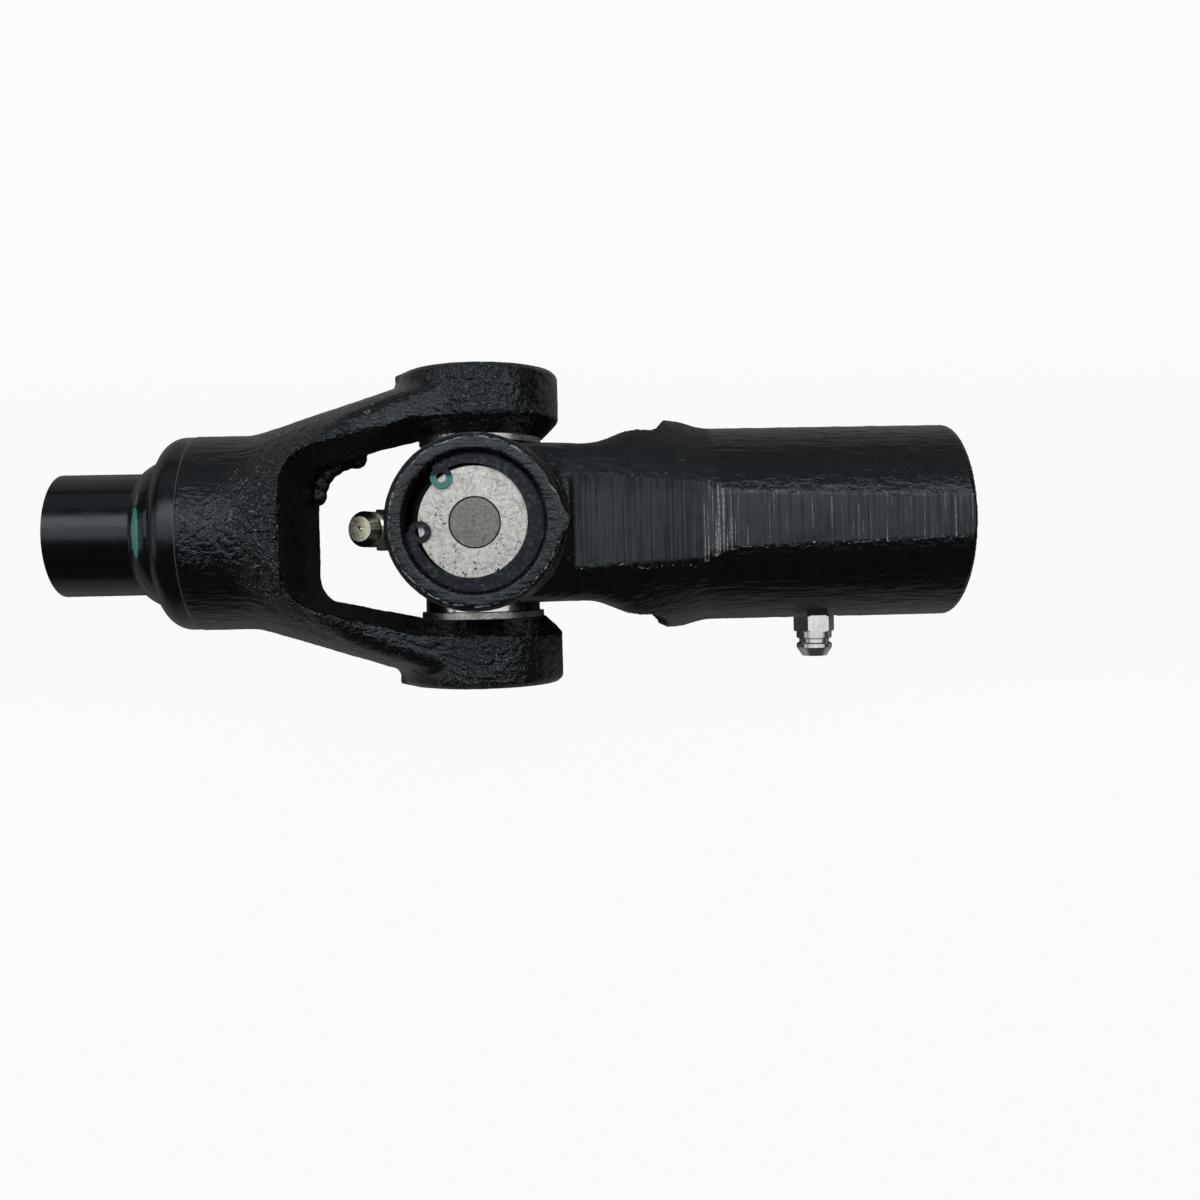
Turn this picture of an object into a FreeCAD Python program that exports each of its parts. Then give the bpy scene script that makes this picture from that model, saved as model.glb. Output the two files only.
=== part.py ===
import FreeCAD, Part
import math
import os

# Front drive shaft end: a tube, two forged yokes on a needle-bearing cross, and a splined sleeve.
# Millimetres. Everything is built about the joint centre, with +X along the shaft to the sleeve's
# mouth, the sleeve yoke's ears on +-Z and the tube yoke's ears on +-Y. Saving moves the origin to
# the centre of the sleeve's mouth.

V = FreeCAD.Vector
ORIGIN = V(0, 0, 0)
X_AXIS = V(1, 0, 0)
Y_AXIS = V(0, 1, 0)
Z_AXIS = V(0, 0, 1)
OVERSHOOT = 1.0

# Bearing cups, pressed in the ears
CUP_R = 13.5
CUP_OUT = 30.95
CUP_LENGTH = 12.55
CUP_BOTTOM = 3.0
CUP_EDGE_WIDE = 2.4
CUP_EDGE_DEEP = 0.7
CUP_DISH_R = 5.05
CUP_DISH_DEPTH = 0.25
CUP_LIP_WALL = 1.9
CUP_LIP_DEPTH = 1.2
CUP_IN = CUP_OUT - CUP_LENGTH
CUP_FLOOR = CUP_OUT - CUP_BOTTOM
CUP_LIP_R = CUP_R - CUP_LIP_WALL

# Cross, needles and thrust washers
TRUNNION_R = 8.3
TRUNNION_EDGE = 0.8
RUNNING_GAP = 0.02
NEEDLE_R = 1.25
NEEDLE_END_GAP = 0.05
NEEDLE_LIP_GAP = 0.1
WASHER_THICK = 1.05
WASHER_INSET = 0.9
WASHER_HOLE_R = 2.2
CROSS_BODY_R = 11.7
CROSS_BODY_END = 15.3
GALLERY_R = 1.5
NEEDLE_PITCH_R = TRUNNION_R + RUNNING_GAP + NEEDLE_R
RACE_R = NEEDLE_PITCH_R + NEEDLE_R + RUNNING_GAP
NEEDLE_COUNT = int(math.pi / math.asin(NEEDLE_R / NEEDLE_PITCH_R))
WASHER_R = RACE_R - WASHER_INSET
TRUNNION_END = CUP_FLOOR - WASHER_THICK

# Rubber seals inside pressed steel guards
SEAL_GAP = 0.2
SEAL_LIP_CLEAR = 0.5
GUARD_INSET = 0.9
GUARD_WALL = 0.6
GUARD_R = CUP_R - GUARD_INSET
SEAL_R = GUARD_R - GUARD_WALL
SEAL_END = CUP_IN - SEAL_GAP

# Circlips that hold the cups in the ears
CLIP_THICK = 1.2
CLIP_GRIP = 0.8
CLIP_HOLE_INSET = 2.35
CLIP_OFFSET = 0.85
CLIP_GAP_ANGLE = 157.5
CLIP_LUG_ANGLE = 32.0
CLIP_END_ANGLE = 30.5
CLIP_LUG_INSET = 2.75
CLIP_LUG_R = 2.15
CLIP_PIN_R = 0.95
CLIP_R = CUP_R + CLIP_GRIP

# Ears of both forks
EAR_WALL = 4.0
EAR_RECESS = 2.05
EAR_RIM = 1.1
EAR_CHAMFER = 3.6
EAR_LEAD = 0.5
EAR_BLEND = 2.5
CUP_STANDS_IN = 1.3
PAD_INSET = 1.0
PAD_TIP_INSET = 0.4
PAD_TIP_R = 1.5
PAD_DEPTH = 7.2
EAR_R = CUP_R + EAR_WALL
EAR_FACE = CUP_OUT + CLIP_THICK + EAR_RECESS
EAR_INNER = CUP_IN + CUP_STANDS_IN
PAD_R = EAR_R - PAD_INSET
PAD_FROM = EAR_FACE - PAD_DEPTH

# Arms of both forks, from the throat between them
THROAT = 39.0
THROAT_HALF = 14.1
THROAT_CORNER = 6.0
THROAT_SIDE = 39.75
THROAT_SIDE_HALF = 15.0
THROAT_SIDE_CORNER = 8.0
ARM_FROM = 2.0
ARM_INSET = 1.5
ARM_ROUND = 4.0
ARM_TAPER = math.radians(17.5)
ARM_ROOT_BLEND = 14.0
ARM_FLARE_BLEND = 14.0
ARM_ROOT_TURN = 9.0
ARM_SIDE_FLARE = 3.5
ARM_SIDE_AT = 18.0
ARM_SIDE_REACH = 26.0
WINDOW_TURN = 13.0
WINDOW_TURN_R = 6.0
ROOT_STANDS_OUT = 1.25
FLARE_LENGTH = 11.5
FLARE_SHORT = 2.75
TAPER_BEYOND = 9.9
PICK_SLACK = 2.0
PICK_CLOSE = 0.5
ARM_HALF = EAR_R - ARM_INSET
FLARE_TO = THROAT - FLARE_SHORT
FLARE_FROM = FLARE_TO - FLARE_LENGTH
TAPER_MEETS = THROAT + TAPER_BEYOND

# Tube yoke's hub, the weld and the tube
HUB_R = 21.3
HUB_LENGTH = 29.0
HUB_ROUND = 4.6
BAND_LENGTH = 6.8
BAND_STEP = 0.15
TUBE_R = 13.35
TUBE_WALL = 3.5
TUBE_SEAT_DEPTH = 18.0
TUBE_SHOWN = 23.0
WELD_LENGTH = 5.2
WELD_HEIGHT = 3.0
WELD_BULGE = 0.5
HUB_END = THROAT + HUB_LENGTH
TUBE_SEAT = HUB_END - TUBE_SEAT_DEPTH
TUBE_END = HUB_END + TUBE_SHOWN

# Splined sleeve
SLEEVE_R = 21.3
SLEEVE_LENGTH = 65.0
MOUTH_EDGE = 0.6
SLEEVE_WALL = 6.4
SPLINE_HEIGHT = 1.6
SPLINE_COUNT = 16
SPLINE_ROOT_SHARE = 0.56
SPLINE_TIP_SHARE = 0.43
PILOT_CLEAR = 0.5
PILOT_DEPTH = 10.0
RELIEF_CLEAR = 0.3
PLUG_INSET = 2.3
PLUG_THICK = 1.6
PLUG_DISH = 1.2
PLUG_RIM = 4.0
PLUG_SHOULDER = 2.5
PLUG_WEB = 1.5
PLUG_ROOM = 7.5
RELIEF_LENGTH = 9.5
SLEEVE_REACH = THROAT + SLEEVE_LENGTH
SPLINE_MAJOR = SLEEVE_R - SLEEVE_WALL
PILOT_R = SPLINE_MAJOR + PILOT_CLEAR
SPLINE_MINOR = SPLINE_MAJOR - SPLINE_HEIGHT
RELIEF_R = SPLINE_MAJOR + RELIEF_CLEAR
PLUG_R = SPLINE_MINOR - PLUG_INSET
PLUG_FROM = THROAT + PLUG_WEB
CAVITY_FROM = THROAT + PLUG_ROOM
SPLINE_FROM = CAVITY_FROM + RELIEF_LENGTH

# Flats ground along the sleeve yoke's parting line
FLAT_FORK = 0.75
FLAT_MOUTH = 0.40
NECK_FLAT = 1.5
NECK_FLAT_GAP = 4.0
NECK_FLAT_FROM = EAR_R + NECK_FLAT_GAP

# Grease nipples
NIPPLE_TO_MOUTH = 29.7
NIPPLE_THREAD_R = 3.0
NIPPLE_BALL_R = 0.8
NIPPLE_BALL_CLEAR = 0.25
NIPPLE_MOUTH_R = 0.55
NIPPLE_MOUTH_DEPTH = 0.5
NIPPLE_SEAT_DEPTH = 0.7
NIPPLE_DUCT_R = 0.5
NIPPLE_CHAMBER = 5.0
NIPPLE_CHAMBER_R = NIPPLE_BALL_R + NIPPLE_BALL_CLEAR
SPRING_WIRE_R = 0.2
SPRING_PITCH = 0.6
SPRING_TURNS = 3
SPRING_CLEAR = 0.05
SPRING_R = NIPPLE_CHAMBER_R - SPRING_WIRE_R - SPRING_CLEAR
HEAD_HEIGHT = 5.5
HEAD_R = 3.9
HEAD_TOP_R = 2.7
HEAD_GROOVE = 0.6
HEAD_COLLAR = 1.4
HEAD_GROOVE_SIDE = 0.4
HEAD_GROOVE_FLOOR = 0.6
HEAD_BROAD = 0.8
HEX_EASE = 0.935
SLEEVE_HEX = 8.0
SLEEVE_HEX_HIGH = 3.6
SPOT_FACE_R = 5.2
SPOT_FACE_DEPTH = 0.35
CROSS_HEX = 9.0
CROSS_HEX_LENGTH = 11.8
CROSS_SEAT_R = 6.5
CROSS_SEAT_DEPTH = 0.4
CROSS_THREAD_LENGTH = 4.8
ELBOW_DEG = 67.5
ELBOW_FROM_END = 1.6
ELBOW_NECK = 5.2
NIPPLE_AT = SLEEVE_REACH - NIPPLE_TO_MOUTH
CROSS_HEX_FROM = CROSS_BODY_R - CROSS_SEAT_DEPTH
CROSS_HEX_TO = CROSS_HEX_FROM + CROSS_HEX_LENGTH
ELBOW_AT = CROSS_HEX_TO - ELBOW_FROM_END

NODES = {}


# Small shape helpers


def rounded_wire(points, radii, place):
    """Closed outline through the points, each corner rounded by its radius."""
    corners = []
    count = len(points)
    for i in range(count):
        before = V(*points[i - 1], 0)
        here = V(*points[i], 0)
        after = V(*points[(i + 1) % count], 0)
        if radii[i] == 0:
            corners.append((here, None, here))
            continue
        back = (before - here).normalize()
        ahead = (after - here).normalize()
        half = back.getAngle(ahead) / 2
        reach = radii[i] / math.tan(half)
        middle = (back + ahead).normalize()
        top = here + middle * (radii[i] / math.sin(half) - radii[i])
        corners.append((here + back * reach, top, here + ahead * reach))
    edges = []
    for i in range(count):
        start, top, end = corners[i]
        if top is not None:
            edges.append(Part.Arc(place(start), place(top), place(end)).toShape())
        following = corners[(i + 1) % count][0]
        edges.append(Part.makeLine(place(end), place(following)))
    return Part.Wire(edges)


def mirrored_wire(points, radii, place):
    """Closed outline symmetrical about its first coordinate's axis."""
    low = [(a, -b) for a, b in reversed(points)]
    return rounded_wire(points + low, radii + radii[::-1], place)


def prism(wire, length):
    return Part.Face(wire).extrude(length)


def spun(wire, axis=X_AXIS):
    return Part.Face(wire).revolve(ORIGIN, axis, 360)


def in_xz(points):
    """Closed polygon from (x, z) pairs."""
    return Part.makePolygon([V(x, 0, z) for x, z in points + points[:1]])


def disc(radius, start, end, direction=Z_AXIS):
    return Part.makeCylinder(radius, end - start, direction * start, direction)


def cone(r_start, r_end, start, end, direction=Z_AXIS):
    return Part.makeCone(r_start, r_end, end - start, direction * start, direction)


def ring(outer, inner, start, end, direction=Z_AXIS):
    hole = disc(inner, start - OVERSHOOT, end + OVERSHOOT, direction)
    return disc(outer, start, end, direction).cut(hole)


def about(shape, direction, degrees):
    copy = shape.copy()
    copy.rotate(ORIGIN, direction, degrees)
    return copy


def upright(shape, place, direction):
    """Copy of a shape built along +Z, stood on a place along a direction."""
    copy = shape.copy()
    turn = FreeCAD.Placement(place, FreeCAD.Rotation(Z_AXIS, direction))
    copy.Placement = turn.multiply(copy.Placement)
    return copy


def both_ears(shape):
    return [shape, shape.mirror(ORIGIN, Z_AXIS)]


def one_solid(shape):
    return shape.removeSplitter().Solids[0]


def pick_edges(shape, wanted):
    return [edge for edge in shape.Edges if wanted(edge)]


# Fork shared by both yokes: ears on +-Z, arms running to +X


def arm_envelope(shank_r, shank_end):
    """Turned outside of the arms, tapering down to the round shank."""
    rise = math.tan(ARM_TAPER) * (TAPER_MEETS - ARM_FROM)
    points = [(ARM_FROM, 0), (ARM_FROM, shank_r + rise), (TAPER_MEETS, shank_r)]
    points += [(shank_end, shank_r), (shank_end, 0)]
    radii = [0, 0, ARM_ROOT_BLEND, 0, 0]
    return spun(rounded_wire(points, radii, lambda p: V(p.x, 0, p.y)))


def arm_plan(shank_r, shank_end):
    """Width of the arms seen along the ears' axis, flaring out to the root."""
    root = shank_r + ROOT_STANDS_OUT
    points = [(ARM_FROM, ARM_HALF), (FLARE_FROM, ARM_HALF), (FLARE_TO, root)]
    points += [(shank_end + OVERSHOOT, root)]
    radii = [0, ARM_FLARE_BLEND, ARM_ROOT_TURN, 0]
    wire = mirrored_wire(points, radii, lambda p: V(p.x, p.y, -EAR_FACE))
    return prism(wire, V(0, 0, 2 * EAR_FACE))


def window_wire(ear, end, end_half, corner, side):
    points = [(-THROAT, ear), (WINDOW_TURN, ear), (end, end_half)]
    return mirrored_wire(points, [0, WINDOW_TURN_R, corner], lambda p: V(p.x, side, p.y))


def fork_window():
    """Opening between the arms, tightest on the mid-plane and drafted to both sides."""
    grow = ARM_SIDE_REACH / ARM_SIDE_AT
    ear = EAR_INNER + ARM_SIDE_FLARE * grow
    end = THROAT + (THROAT_SIDE - THROAT) * grow
    half = THROAT_HALF + (THROAT_SIDE_HALF - THROAT_HALF) * grow
    corner = THROAT_CORNER + (THROAT_SIDE_CORNER - THROAT_CORNER) * grow
    middle = window_wire(EAR_INNER, THROAT, THROAT_HALF, THROAT_CORNER, 0)
    front = Part.makeLoft([middle, window_wire(ear, end, half, corner, ARM_SIDE_REACH)], True, True)
    back = Part.makeLoft([window_wire(ear, end, half, corner, -ARM_SIDE_REACH), middle], True, True)
    return front.fuse(back).removeSplitter()


def ear_boss():
    """Round ear, chamfered towards the joint and eased at its machined face."""
    full = disc(EAR_R, EAR_INNER + EAR_CHAMFER, EAR_FACE - EAR_RIM)
    inner = cone(EAR_R - EAR_CHAMFER, EAR_R, EAR_INNER, EAR_INNER + EAR_CHAMFER)
    rim = cone(EAR_R, EAR_R - EAR_RIM, EAR_FACE - EAR_RIM, EAR_FACE)
    return full.fuse([inner, rim])


def ear_pad():
    """Pointed heel of the ear's machined face, where the arm's crown meets it."""
    tip_at = EAR_R - PAD_TIP_INSET
    lean = math.acos((PAD_R - PAD_TIP_R) / tip_at)
    out = V(math.cos(lean), math.sin(lean), 0)
    base = V(0, 0, PAD_FROM)
    tip = base + X_AXIS * tip_at
    high = base + out * PAD_R
    tip_high = tip + out * PAD_TIP_R
    low = V(high.x, -high.y, PAD_FROM)
    tip_low = V(tip_high.x, -tip_high.y, PAD_FROM)
    nose = Part.Arc(tip_low, tip + X_AXIS * PAD_TIP_R, tip_high).toShape()
    edges = [Part.makeLine(base, low), Part.makeLine(low, tip_low), nose]
    edges += [Part.makeLine(tip_high, high), Part.makeLine(high, base)]
    return prism(Part.Wire(edges), V(0, 0, PAD_DEPTH))


def is_arm_edge(edge):
    box = edge.BoundBox
    off_middle = abs(box.Center.y) > ARM_HALF - PICK_SLACK and abs(box.Center.z) > PAD_TIP_R
    return box.XLength > PICK_SLACK and box.XMax < TAPER_MEETS + PICK_SLACK and off_middle


def is_ear_root(edge):
    point = edge.valueAt((edge.FirstParameter + edge.LastParameter) / 2)
    radius = math.hypot(point.x, point.y)
    beside = PAD_R - PICK_CLOSE < radius < EAR_R + PAD_TIP_R + PICK_CLOSE
    in_height = PAD_FROM - PICK_SLACK < abs(point.z) < EAR_FACE - EAR_RIM
    return point.x > ARM_FROM and in_height and beside


def fork(shank_r, shank_end):
    arms = one_solid(arm_envelope(shank_r, shank_end).common(arm_plan(shank_r, shank_end)))
    arms = arms.makeFillet(ARM_ROUND, pick_edges(arms, is_arm_edge))
    arms = one_solid(arms.cut(fork_window()))
    body = one_solid(arms.fuse(both_ears(ear_boss().fuse(ear_pad()))))
    return one_solid(body.makeFillet(EAR_BLEND, pick_edges(body, is_ear_root)))


def bore_ears(body):
    """Cup bore through both ears, with a circlip groove beyond each cup."""
    bore = disc(CUP_R, -EAR_FACE - OVERSHOOT, EAR_FACE + OVERSHOOT)
    grooves = both_ears(disc(CLIP_R, CUP_OUT, CUP_OUT + CLIP_THICK))
    leads = both_ears(cone(CUP_R, CUP_R + EAR_LEAD, EAR_FACE - EAR_LEAD, EAR_FACE))
    return one_solid(body.cut(bore.multiFuse(grooves + leads)))


# Tube yoke, tube and weld


def to_tube_side(shape):
    """Turns a shape built with ears on +-Z to the far side, with ears on +-Y."""
    return about(about(shape, Z_AXIS, 180), X_AXIS, 90)


def hub_end_tool():
    """Rounds the hub's end and turns the smooth band beside it."""
    band_r = HUB_R - BAND_STEP
    outside = HUB_R + HUB_LENGTH
    beyond = HUB_END + HUB_LENGTH
    swing = HUB_ROUND * math.cos(math.radians(45))
    start = V(HUB_END - HUB_ROUND, 0, band_r)
    middle = V(HUB_END - HUB_ROUND + swing, 0, band_r - HUB_ROUND + swing)
    end = V(HUB_END, 0, band_r - HUB_ROUND)
    corners = [end, V(HUB_END, 0, 0), V(beyond, 0, 0), V(beyond, 0, outside)]
    corners += [V(HUB_END - BAND_LENGTH, 0, outside), V(HUB_END - BAND_LENGTH, 0, band_r), start]
    edges = [Part.Arc(start, middle, end).toShape()]
    edges += [Part.makeLine(a, b) for a, b in zip(corners, corners[1:])]
    return spun(Part.Wire(edges))


def tube_yoke():
    body = fork(HUB_R, HUB_END + OVERSHOOT).cut(hub_end_tool())
    socket = disc(TUBE_R, TUBE_SEAT, HUB_END + OVERSHOOT, X_AXIS)
    return to_tube_side(one_solid(bore_ears(body).cut(socket)))


def tube():
    return to_tube_side(ring(TUBE_R, TUBE_R - TUBE_WALL, TUBE_SEAT, TUBE_END, X_AXIS))


def weld_bead():
    """Convex fillet weld between the tube and the hub's end face."""
    toe = V(HUB_END + WELD_LENGTH, 0, TUBE_R)
    root = V(HUB_END, 0, TUBE_R)
    top = V(HUB_END, 0, TUBE_R + WELD_HEIGHT)
    outward = V(WELD_HEIGHT, 0, WELD_LENGTH).normalize()
    crest = (toe + top) * 0.5 + outward * WELD_BULGE
    edges = [Part.Arc(toe, crest, top).toShape(), Part.makeLine(top, root), Part.makeLine(root, toe)]
    return to_tube_side(spun(Part.Wire(edges)))


# Sleeve yoke and its plug


def ground_flats():
    slope = math.tan(ARM_TAPER)
    at_shank = SLEEVE_R - NECK_FLAT
    fork_flat = SLEEVE_R - FLAT_FORK
    meet = TAPER_MEETS - (fork_flat - at_shank) / slope
    start = at_shank + slope * (TAPER_MEETS - NECK_FLAT_FROM)
    far = SLEEVE_REACH + OVERSHOOT
    points = [(NECK_FLAT_FROM, start), (meet, fork_flat), (far, SLEEVE_R - FLAT_MOUTH)]
    points += [(far, EAR_FACE), (NECK_FLAT_FROM - OVERSHOOT, EAR_FACE)]
    flat = prism(in_xz(points), V(0, 2 * SLEEVE_R, 0))
    flat.translate(V(0, -SLEEVE_R, 0))
    return both_ears(flat)


def splined_bore():
    """Straight-sided internal splines between the relief and the plain pilot."""
    end = SLEEVE_REACH - PILOT_DEPTH
    core = disc(SPLINE_MINOR, SPLINE_FROM, end, X_AXIS)
    pitch = 2 * math.pi * SPLINE_MAJOR / SPLINE_COUNT
    root = pitch * SPLINE_ROOT_SHARE / 2
    tip = pitch * SPLINE_TIP_SHARE / 2
    corners = [(-root, 0), (-tip, SPLINE_MAJOR), (tip, SPLINE_MAJOR), (root, 0)]
    outline = Part.makePolygon([V(SPLINE_FROM, y, z) for y, z in corners + corners[:1]])
    space = prism(outline, V(end - SPLINE_FROM, 0, 0))
    turns = [i * 360 / SPLINE_COUNT for i in range(SPLINE_COUNT)]
    return core.multiFuse([about(space, X_AXIS, turn) for turn in turns])


def sleeve_cavity():
    pilot = disc(PILOT_R, SLEEVE_REACH - PILOT_DEPTH, SLEEVE_REACH + OVERSHOOT, X_AXIS)
    relief = disc(RELIEF_R, CAVITY_FROM, SPLINE_FROM, X_AXIS)
    plug_seat = disc(PLUG_R, PLUG_FROM, CAVITY_FROM, X_AXIS)
    drain = disc(PLUG_R - PLUG_SHOULDER, ARM_FROM, PLUG_FROM, X_AXIS)
    return [splined_bore(), pilot, relief, plug_seat, drain]


def mouth_edge():
    start = SLEEVE_REACH - MOUTH_EDGE
    far = SLEEVE_REACH + OVERSHOOT
    low = SLEEVE_R - MOUTH_EDGE - OVERSHOOT
    return spun(in_xz([(start, SLEEVE_R), (far, low), (far, EAR_FACE), (start, EAR_FACE)]))


def nipple_hole():
    hole = disc(NIPPLE_THREAD_R, SPLINE_MINOR - OVERSHOOT, SLEEVE_R + OVERSHOOT)
    spot_face = disc(SPOT_FACE_R, SLEEVE_R - SPOT_FACE_DEPTH, SLEEVE_R + OVERSHOOT)
    return upright(hole.fuse(spot_face), X_AXIS * NIPPLE_AT, Y_AXIS * -1)


def sleeve_yoke():
    body = bore_ears(fork(SLEEVE_R, SLEEVE_REACH))
    tools = ground_flats() + sleeve_cavity() + [mouth_edge(), nipple_hole()]
    return one_solid(body.cut(tools[0].multiFuse(tools[1:])))


def sleeve_plug():
    """Dished blanking disc pressed into the fork end of the splined bore."""
    crown = PLUG_FROM + PLUG_DISH
    front = [(PLUG_FROM, PLUG_R), (crown, PLUG_R - PLUG_RIM), (crown, 0)]
    back = [(x + PLUG_THICK, r) for x, r in reversed(front)]
    return spun(in_xz(front + back))


# Cross and the four bearings


def trunnion(direction):
    edge = TRUNNION_END - TRUNNION_EDGE
    tip = cone(TRUNNION_R, TRUNNION_R - TRUNNION_EDGE, edge, TRUNNION_END, direction)
    return disc(TRUNNION_R, 0, edge, direction).fuse(tip)


def cross():
    body = disc(CROSS_BODY_R, -CROSS_BODY_END, CROSS_BODY_END)
    body = body.fuse(disc(CROSS_BODY_R, -CROSS_BODY_END, CROSS_BODY_END, Y_AXIS))
    for direction in (Z_AXIS, Y_AXIS):
        body = body.fuse([trunnion(direction), trunnion(direction * -1)])
    back = X_AXIS * -1
    past = TRUNNION_END + OVERSHOOT
    tools = [disc(GALLERY_R, -past, past, direction) for direction in (Z_AXIS, Y_AXIS)]
    tools.append(disc(GALLERY_R, 0, CROSS_HEX_FROM, back))
    tools.append(disc(CROSS_SEAT_R, CROSS_HEX_FROM, CROSS_BODY_R + OVERSHOOT, back))
    tools.append(disc(NIPPLE_THREAD_R, CROSS_HEX_FROM - CROSS_THREAD_LENGTH, CROSS_HEX_FROM, back))
    return one_solid(body.cut(tools[0].multiFuse(tools[1:])))


def cup():
    edge = CUP_OUT - CUP_EDGE_DEEP
    body = disc(CUP_R, CUP_IN, edge).fuse(cone(CUP_R, CUP_R - CUP_EDGE_WIDE, edge, CUP_OUT))
    race = disc(RACE_R, CUP_IN - OVERSHOOT, CUP_FLOOR)
    lip = disc(CUP_LIP_R, CUP_IN - OVERSHOOT, CUP_IN + CUP_LIP_DEPTH)
    dish = disc(CUP_DISH_R, CUP_OUT - CUP_DISH_DEPTH, CUP_OUT + OVERSHOOT)
    return one_solid(body.cut(race.multiFuse([lip, dish])))


def needles():
    start = CUP_IN + CUP_LIP_DEPTH + NEEDLE_LIP_GAP
    first = disc(NEEDLE_R, start, TRUNNION_END - NEEDLE_END_GAP)
    first.translate(X_AXIS * NEEDLE_PITCH_R)
    turns = [i * 360 / NEEDLE_COUNT for i in range(NEEDLE_COUNT)]
    return Part.makeCompound([about(first, Z_AXIS, turn) for turn in turns])


def thrust_washer():
    return ring(WASHER_R, WASHER_HOLE_R, TRUNNION_END, CUP_FLOOR)


def clip_lug(side):
    """Lug and plier hole beside the gap, on the side given by the sign."""
    angle = math.radians(180 + side * CLIP_LUG_ANGLE)
    reach = CUP_R - CLIP_LUG_INSET
    at = V(reach * math.cos(angle), reach * math.sin(angle), CUP_OUT)
    lug = Part.makeCylinder(CLIP_LUG_R, CLIP_THICK, at, Z_AXIS)
    pin = Part.makeCylinder(CLIP_PIN_R, CLIP_THICK, at, Z_AXIS)
    return lug, pin


def circlip():
    """Internal retaining ring: wide on one side, open between two pierced lugs on the other."""
    end = CUP_OUT + CLIP_THICK
    inner = disc(CUP_R - CLIP_HOLE_INSET, CUP_OUT, end)
    inner.translate(V(-CLIP_OFFSET, 0, 0))
    out = 2 * CLIP_R
    wide = out * math.tan(math.radians(CLIP_END_ANGLE))
    corners = [V(0, 0, CUP_OUT), V(-out, wide, CUP_OUT), V(-out, -wide, CUP_OUT)]
    gap = prism(Part.makePolygon(corners + corners[:1]), V(0, 0, CLIP_THICK))
    low, low_pin = clip_lug(-1)
    high, high_pin = clip_lug(1)
    body = disc(CLIP_R, CUP_OUT, end).cut(inner.fuse(gap))
    body = body.multiFuse([low, high]).common(disc(CLIP_R, CUP_OUT, end))
    return about(one_solid(body.cut(low_pin.fuse(high_pin))), Z_AXIS, CLIP_GAP_ANGLE - 180)


def seal():
    """Rubber ring on the trunnion, its lip standing inside the cup's mouth."""
    back = ring(SEAL_R, TRUNNION_R, CROSS_BODY_END + GUARD_WALL, SEAL_END)
    lip_end = CUP_IN + CUP_LIP_DEPTH - NEEDLE_LIP_GAP
    lip = ring(CUP_LIP_R - SEAL_LIP_CLEAR, TRUNNION_R, SEAL_END, lip_end)
    return one_solid(back.fuse(lip))


def guard():
    """Pressed steel cap round the seal, on the cross's shoulder."""
    web = ring(GUARD_R, TRUNNION_R, CROSS_BODY_END, CROSS_BODY_END + GUARD_WALL)
    skirt = ring(GUARD_R, SEAL_R, CROSS_BODY_END, SEAL_END)
    return one_solid(web.fuse(skirt))


# Grease nipples, built along +Z


def hexagon(across, start, end):
    """Hexagonal bar with both ends eased to a circle."""
    corner = V(across / math.sqrt(3), 0, start)
    turns = [FreeCAD.Rotation(Z_AXIS, 60 * i) for i in range(7)]
    outline = Part.makePolygon([turn.multVec(corner) for turn in turns])
    block = prism(outline, V(0, 0, end - start))
    eased = corner.x * HEX_EASE
    swell = eased + end - start
    return block.common(cone(eased, swell, start, end)).common(cone(swell, eased, start, end))


def nipple_head(start):
    """Round collar, a shallow groove and the head that tapers to its top."""
    floor_r = HEAD_R - HEAD_GROOVE
    floor_from = start + HEAD_COLLAR + HEAD_GROOVE_SIDE
    floor_to = floor_from + HEAD_GROOVE_FLOOR
    broad = floor_to + HEAD_GROOVE_SIDE
    top = start + HEAD_HEIGHT
    profile = [(0, start), (HEAD_R, start), (HEAD_R, start + HEAD_COLLAR), (floor_r, floor_from)]
    profile += [(floor_r, floor_to), (HEAD_R, broad), (HEAD_R, broad + HEAD_BROAD)]
    profile += [(HEAD_TOP_R, top), (0, top)]
    return spun(in_xz(profile), Z_AXIS)


def nipple_duct(top, bottom):
    """Mouth, cone seat of the check ball, ball chamber and the duct below it."""
    seat_top = top - NIPPLE_MOUTH_DEPTH
    seat_end = seat_top - NIPPLE_SEAT_DEPTH
    mouth = disc(NIPPLE_MOUTH_R, seat_top, top + OVERSHOOT)
    seat = cone(NIPPLE_CHAMBER_R, NIPPLE_MOUTH_R, seat_end, seat_top)
    chamber = disc(NIPPLE_CHAMBER_R, top - NIPPLE_CHAMBER, seat_end)
    return mouth.multiFuse([seat, chamber, disc(NIPPLE_DUCT_R, bottom, top - NIPPLE_CHAMBER)])


def nipple_ball(top):
    """Check ball resting against its cone seat."""
    half = math.atan2(NIPPLE_CHAMBER_R - NIPPLE_MOUTH_R, NIPPLE_SEAT_DEPTH)
    apex = top - NIPPLE_MOUTH_DEPTH + NIPPLE_MOUTH_R / math.tan(half)
    return Part.makeSphere(NIPPLE_BALL_R, V(0, 0, apex - NIPPLE_BALL_R / math.sin(half)))


def nipple_spring(top):
    """Spring under the check ball, drawn at its pressed length."""
    path = Part.Wire([Part.makeHelix(SPRING_PITCH, SPRING_PITCH * SPRING_TURNS, SPRING_R)])
    section = Part.Wire([Part.makeCircle(SPRING_WIRE_R, V(SPRING_R, 0, 0), Y_AXIS)])
    coil = path.makePipeShell([section], True, True)
    coil.translate(V(0, 0, top - NIPPLE_CHAMBER + SPRING_WIRE_R))
    return coil


def add_nipple(name, body, head_top, place, direction):
    NODES[name] = body
    NODES[name + "_ball"] = upright(nipple_ball(head_top), place, direction)
    NODES[name + "_spring"] = upright(nipple_spring(head_top), place, direction)


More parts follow.
